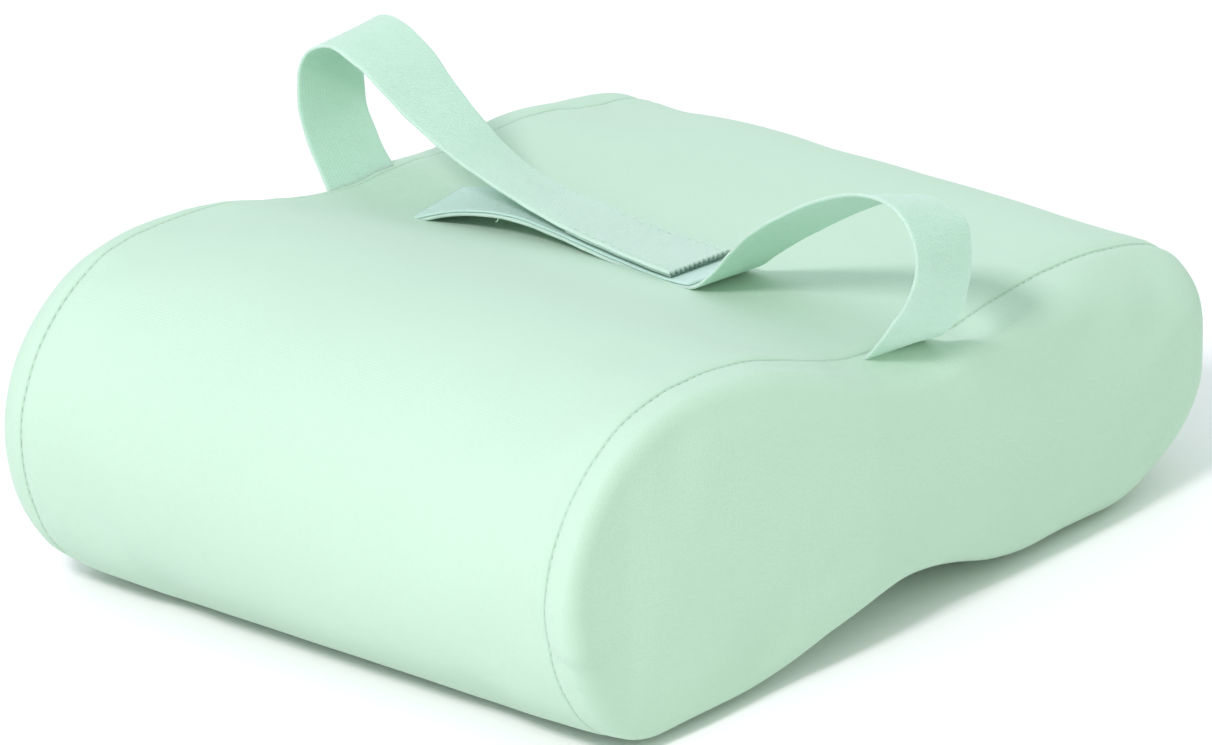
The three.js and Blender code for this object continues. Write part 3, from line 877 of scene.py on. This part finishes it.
def stitch_row(name, path, outward, look, length=2.3, gap=0.7, radius=0.2, sunk=0.0):
    """A row of stitches along a line of points. outward has the direction off the fabric at each."""
    run = lengths(path)
    points, faces = [], []
    for start in np.arange(gap, run[-1] - length, length + gap):
        shares = np.linspace(0, 1, STITCH_RINGS)
        middle = np.stack([np.interp(start + length * shares, run, path[:, i]) for i in range(3)], 1)
        off = np.stack([np.interp(start + length * shares, run, outward[:, i]) for i in range(3)], 1)
        ahead = middle[-1] - middle[0]
        ahead = ahead / np.linalg.norm(ahead)
        first = len(points)
        for share, centre, out in zip(shares, middle, off):
            out = out / np.linalg.norm(out)
            side = np.cross(out, ahead)
            arch = math.sin(share * math.pi)
            centre = centre + out * (radius * (STITCH_ARCH * arch - STITCH_SET) - sunk)
            size = radius * (STITCH_TIP + (1 - STITCH_TIP) * arch)
            for turn in np.arange(STITCH_SIDES) * math.tau / STITCH_SIDES:
                points.append(centre + size * (math.cos(turn) * out + math.sin(turn) * side))
        ids = first + np.arange(STITCH_RINGS * STITCH_SIDES).reshape(STITCH_RINGS, STITCH_SIDES)
        faces += grid_faces(ids, ring=True)
        faces += [tuple(int(i) for i in ids[0]), tuple(int(i) for i in ids[-1][::-1])]
    return mesh_piece(name, points, faces, look)


def closed_line(points):
    return np.vstack([points, points[:1]])


def seam_stitches(name, wrap_table, end_table, side, look):
    """The row along an end seam, between the wrap's edge and the end panel's."""
    wrap_row, end_row = (-1, 0) if side > 0 else (0, -1)
    middle = (wrap_table[wrap_row] + end_table[end_row]) / 2
    normals = surface_normals(wrap_table, wrap_rings())[wrap_row]
    middle[:, 2] = np.maximum(middle[:, 2], SEAM_STITCH_LOWEST)
    return stitch_row(name, closed_line(middle), closed_line(normals), look, 2.2, 0.6, 0.14, sunk=0.1)


# ---- Straps ----

def catmull_rom(rows, t, power):
    """The point at t rows along a spline. power 0.5 is centripetal, and 0 is uniform."""
    i = min(int(t), len(rows) - 2)
    w = t - i
    before = rows[i - 1] if i > 0 else 2 * rows[0] - rows[1]
    after = rows[i + 2] if i + 2 < len(rows) else 2 * rows[-1] - rows[-2]
    p = [before, rows[i], rows[i + 1], after]
    gaps = [max(np.linalg.norm(b - a) ** power, 1e-4) for a, b in zip(p, p[1:])]
    first = (p[1] - p[0]) / gaps[0] - (p[2] - p[0]) / (gaps[0] + gaps[1]) + (p[2] - p[1]) / gaps[1]
    second = (p[2] - p[1]) / gaps[1] - (p[3] - p[1]) / (gaps[1] + gaps[2]) + (p[3] - p[2]) / gaps[2]
    first, second = first * gaps[1], second * gaps[1]
    return (p[1] + first * w + (3 * (p[2] - p[1]) - 2 * first - second) * w ** 2
            + (2 * (p[1] - p[2]) + first + second) * w ** 3)


class Route:
    """Places along a strap half, with the directions along, across and out of it."""

    def __init__(self, rows, first=0.0, end=None, spacing=0.9):
        rows = np.array(rows, float)
        end = len(rows) - 1 if end is None else end
        fine = np.linspace(first, end, 900)
        line = np.array([catmull_rom(rows[:, :3], t, 0.5) for t in fine])
        run = lengths(line)
        self.run = np.linspace(0, run[-1], max(2, round(run[-1] / spacing)))
        places = np.interp(self.run, run, fine)
        self.middle = np.array([catmull_rom(rows[:, :3], t, 0.5) for t in places])
        lean = np.array([catmull_rom(rows[:, 3:], t, 0.0)[0] for t in places])
        self.along = unit(np.gradient(self.middle, axis=0))
        across = unit(np.array([0, 1, 0]) - self.along * self.along[:, 1:2])
        turn = -np.arcsin(lean / WEB_WIDTH)[:, None]
        self.across = across * np.cos(turn) + np.cross(self.along, across) * np.sin(turn)
        self.up = np.cross(self.along, self.across)

    def at(self, across, height):
        """Points along the route, at a distance across it and out of it."""
        return self.middle + self.across * across + self.up * height


BAND_COLUMNS = 53
BAND_EDGE, BAND_THINNED = 0.5, 0.9      # over how far an edge thins out, and by what share of its square
BAND_WANDER = [(0.16, 5.3, 1), (0.10, 1.7, 2)]      # height, size and turn of each wave in an edge


def band(name, route, width, thickness, height, look, cut_start=0.0, cut_end=0.0, seed=0):
    """A woven band with soft edges. cut_start and cut_end are how far its pinked ends are notched."""
    columns = np.linspace(-1, 1, BAND_COLUMNS)
    edge = np.clip((1 - np.abs(columns)) * width / 2 / BAND_EDGE, 0, 1)
    half = thickness / 2 * np.sqrt(1 - (1 - edge) ** 2 * BAND_THINNED)
    notch = np.abs((np.arange(len(columns)) % 4) - 2) / 2 - 0.5
    last = len(route.run) - 1
    wander = sum(tall * np.sin(route.run / size + turn * seed) for tall, size, turn in BAND_WANDER)
    rows = []
    for side in (1, -1):
        sheet = []
        for share, h, n in zip(columns, half, notch):
            points = route.at(share * width / 2 + abs(share) ** 6 * np.sign(share) * wander[:, None],
                              height + side * h)
            points[0] -= route.along[0] * n * cut_start
            points[last] += route.along[last] * n * cut_end
            sheet.append(points)
        rows.append(np.array(sheet).transpose(1, 0, 2))
    top, bottom = rows[0], rows[1][:, ::-1]
    table = np.concatenate([top, bottom], axis=1)
    flat = columns * width / 2
    across = np.r_[flat, flat[::-1] + width]
    uv = np.stack(np.broadcast_arrays(across[None, :], route.run[:, None]), -1)
    ids = np.arange(table.shape[0] * table.shape[1]).reshape(table.shape[:2])
    faces = grid_faces(ids, ring=True)
    for row, turned in ((0, False), (last, True)):
        for c in range(BAND_COLUMNS - 1):
            quad = (ids[row, c], ids[row, c + 1], ids[row, -2 - c], ids[row, -1 - c])
            faces.append(tuple(int(i) for i in (quad[::-1] if turned else quad)))
    return mesh_piece(name, table.reshape(-1, 3), faces, look, uv.reshape(-1, 2))


def loose_thread(route, looks):
    """An end of sewing thread that hangs from the front edge of the right half."""
    t = np.linspace(0, 1, 15)[:, None]
    start = route.at(-WEB_WIDTH / 2, 0)[np.argmin(np.abs(route.middle[:, 0] - THREAD_X))]
    line = start + np.hstack([0.5 * np.sin(5 * t), -0.9 * t, -1.2 * t + 0.3 * np.sin(7 * t)])
    outward = np.tile([0.3, -1.0, 0.2], (len(t), 1))
    length = lengths(line)[-1] - 0.15
    piece = stitch_row("loose_thread", line, outward, looks["thread"], length, gap=0.05, radius=0.13)
    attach(piece, "right_strap")


TAPE_STITCHES = 1.6             # from a tape's edge


def strap_half(side, looks):
    """One half of the strap with its tape and its stitches."""
    if side == "left":
        route, tape_route = Route(LEFT_ROUTE), Route(LEFT_ROUTE, first=HOOK_START)
        web = band("left_webbing", route, WEB_WIDTH, WEB_THICKNESS, 0, looks["web"],
                   cut_end=0.8, seed=1)
        tape = band("hook_fastener", tape_route, FASTENER_WIDTH, FASTENER_THICKNESS, -FASTENER_DEPTH,
                    looks["hook"], cut_start=0.3, cut_end=0.6, seed=2)
        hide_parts("strap_left")
        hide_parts("hook_tape")
        base_x, outside = -SEAM_X, 1
    else:
        route, tape_route = Route(RIGHT_ROUTE), Route(RIGHT_ROUTE, end=LOOP_END)
        web = band("right_webbing", route, WEB_WIDTH, WEB_THICKNESS, 0, looks["web"],
                   cut_start=1.2, seed=3)
        tape = band("loop_fastener", tape_route, FASTENER_WIDTH, FASTENER_THICKNESS, FASTENER_DEPTH,
                    looks["loop"], cut_start=1.0, cut_end=0.3, seed=4)
        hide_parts("strap_right")
        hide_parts("loop_tape")
        base_x, outside = SEAM_X, -1
        loose_thread(route, looks)
    body = side + "_strap"
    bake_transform(web)
    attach(tape, body)
    for name, edge in (("front", -1), ("back", 1)):
        line = tape_route.at(edge * (FASTENER_WIDTH / 2 - TAPE_STITCHES), outside * WEB_THICKNESS / 2)
        row = stitch_row(f"{side}_tape_stitches_{name}", line, tape_route.up * outside,
                         looks["thread"], 2.2, 0.8, 0.16)
        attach(row, body)


# ---- Studio ----

AMBIENT = 0.9
# The sky's colour at the horizon, overhead, and low on the cushion's near side
SKY_LEVEL = (0.97, 1.0, 0.95, 1)
SKY_TOP = (0.94, 1.01, 1.12, 1)
SKY_RIGHT = (0.82, 0.97, 0.79, 1)
# Name, place in metres, size in metres, power in watts, colour
LIGHTS = [
    ("key", (0.29, -1.82, 1.82), 0.4, 37, (1.0, 0.88, 0.97)),
]
FLOOR_REACH = 12


def make_studio():
    scene = bpy.context.scene
    world = bpy.data.worlds.new("studio")
    scene.world = world
    world.use_nodes = True
    tree = world.node_tree
    direction = add_node(tree, "ShaderNodeTexCoord").outputs["Generated"]
    parts = add_node(tree, "ShaderNodeSeparateXYZ", {0: direction})
    colour = SKY_LEVEL
    for part, tone in (("Z", SKY_TOP), ("X", SKY_RIGHT)):
        share = add_node(tree, "ShaderNodeClamp", {0: parts.outputs[part]}).outputs[0]
        mixed = add_node(tree, "ShaderNodeMix", {0: share, 6: colour, 7: tone}, data_type="RGBA")
        colour = mixed.outputs[2]
    background = tree.nodes["Background"]
    tree.links.new(colour, background.inputs["Color"])
    background.inputs["Strength"].default_value = AMBIENT
    for name, spot, size, power, colour in LIGHTS:
        data = bpy.data.lights.new(name, "AREA")
        data.shape = "SQUARE"
        data.size = size
        data.energy = power
        data.color = colour
        light = bpy.data.objects.new(name, data)
        light.location = spot
        light.rotation_mode = "QUATERNION"
        light.rotation_quaternion = Vector(spot).to_track_quat("Z", "Y")
        light.visible_camera = False
        scene.collection.objects.link(light)
    floor = bpy.data.meshes.new("floor")
    corners = [(x * FLOOR_REACH, y * FLOOR_REACH, 0) for x, y in ((-1, -1), (1, -1), (1, 1), (-1, 1))]
    floor.from_pydata(corners, [], [(0, 1, 2, 3)])
    look = Nodes("pale_floor", 0.95)
    look.colour(look.noise(3, 2), (0.93, 0.93, 0.93), (0.95, 0.95, 0.95))
    floor.materials.append(look.look)
    ground = bpy.data.objects.new("floor", floor)
    scene.collection.objects.link(ground)
    scene.view_settings.view_transform = "Standard"


# ---- The object ----

def make_cover(looks):
    study = swell(looks["cover"])
    wrap, wrap_table = panel("wrap_panel", study, wrap_rings(), looks["cover"], window=True)
    near, near_table = panel("end_panel_near", study, end_rings(1), looks["cover"])
    far, far_table = panel("end_panel_far", study, end_rings(-1), looks["cover"])
    for piece, node in ((wrap, "cover_wrap"), (near, "cover_end_near"), (far, "cover_end_far")):
        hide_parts(node)
        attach(piece, "cushion")
    near_row = seam_stitches("seam_stitches_near", wrap_table, near_table, 1, looks["thread"])
    far_row = seam_stitches("seam_stitches_far", wrap_table, far_table, -1, looks["thread"])
    for piece, node in ((near_row, "seam_near"), (far_row, "seam_far")):
        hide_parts(node)
        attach(piece, "cushion")
    return wrap_table


def make_foam(looks):
    outline = Outline(3)
    end = end_places(7, 9)
    rings = np.r_[-end[::-1], np.linspace(-1, 1, 59)[1:-1], end]
    points, ids, _ = compact(surface(outline, rings, FOAM_DEPTH), ring_table(outline, rings))
    foam = mesh_piece("foam_block", points, grid_faces(ids, ring=True), looks["foam"])
    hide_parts("foam_core")
    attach(foam, "cushion")


def make_zip(looks):
    """The zip's solids keep their shape and get finer materials."""
    finishes = {
        "tape": ["zipper_tape_upper", "zipper_tape_lower"],
        "teeth": ["zipper_teeth_upper", "zipper_teeth_lower"],
        "metal": [
            "zipper_top_stop_upper", "zipper_top_stop_lower", "zipper_bottom_stop",
            "zipper_slider", "zipper_pull",
        ],
    }
    for finish, names in finishes.items():
        for name in names:
            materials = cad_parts[name].data.materials
            materials.clear()
            materials.append(looks[finish])


def make_zip_stitches(wrap_table, looks):
    """The two rows of stitches that hold the zip's tapes, one beside each edge of the window."""
    outline = Outline(FINE)
    from_zip = outline.run - outline.top_run[-1]
    normals = surface_normals(wrap_table, wrap_rings())
    inside = np.abs(wrap_table[:, 0, 0]) < ZIP_HALF_LENGTH + 2
    for name, offset in (("zip_stitches_upper", -HEM_STITCHES), ("zip_stitches_lower", HEM_STITCHES)):
        column = int(np.argmin(np.abs(from_zip - offset)))
        row = stitch_row(name, wrap_table[inside, column], normals[inside, column], looks["thread"],
                         2.4, 0.8, 0.2)
        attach(row, "cushion")


looks = {
    "cover": cover_material(),
    "web": webbing_material(),
    "loop": loop_material(),
    "hook": hook_material(),
    "thread": thread_material(),
    "foam": foam_material(),
    "tape": zip_tape_material(),
    "teeth": zip_teeth_material(),
    "metal": zip_metal_material(),
}
make_camera()
make_studio()
make_foam(looks)
wrap_table = make_cover(looks)
make_zip(looks)
make_zip_stitches(wrap_table, looks)
for side in ("left", "right"):
    strap_half(side, looks)
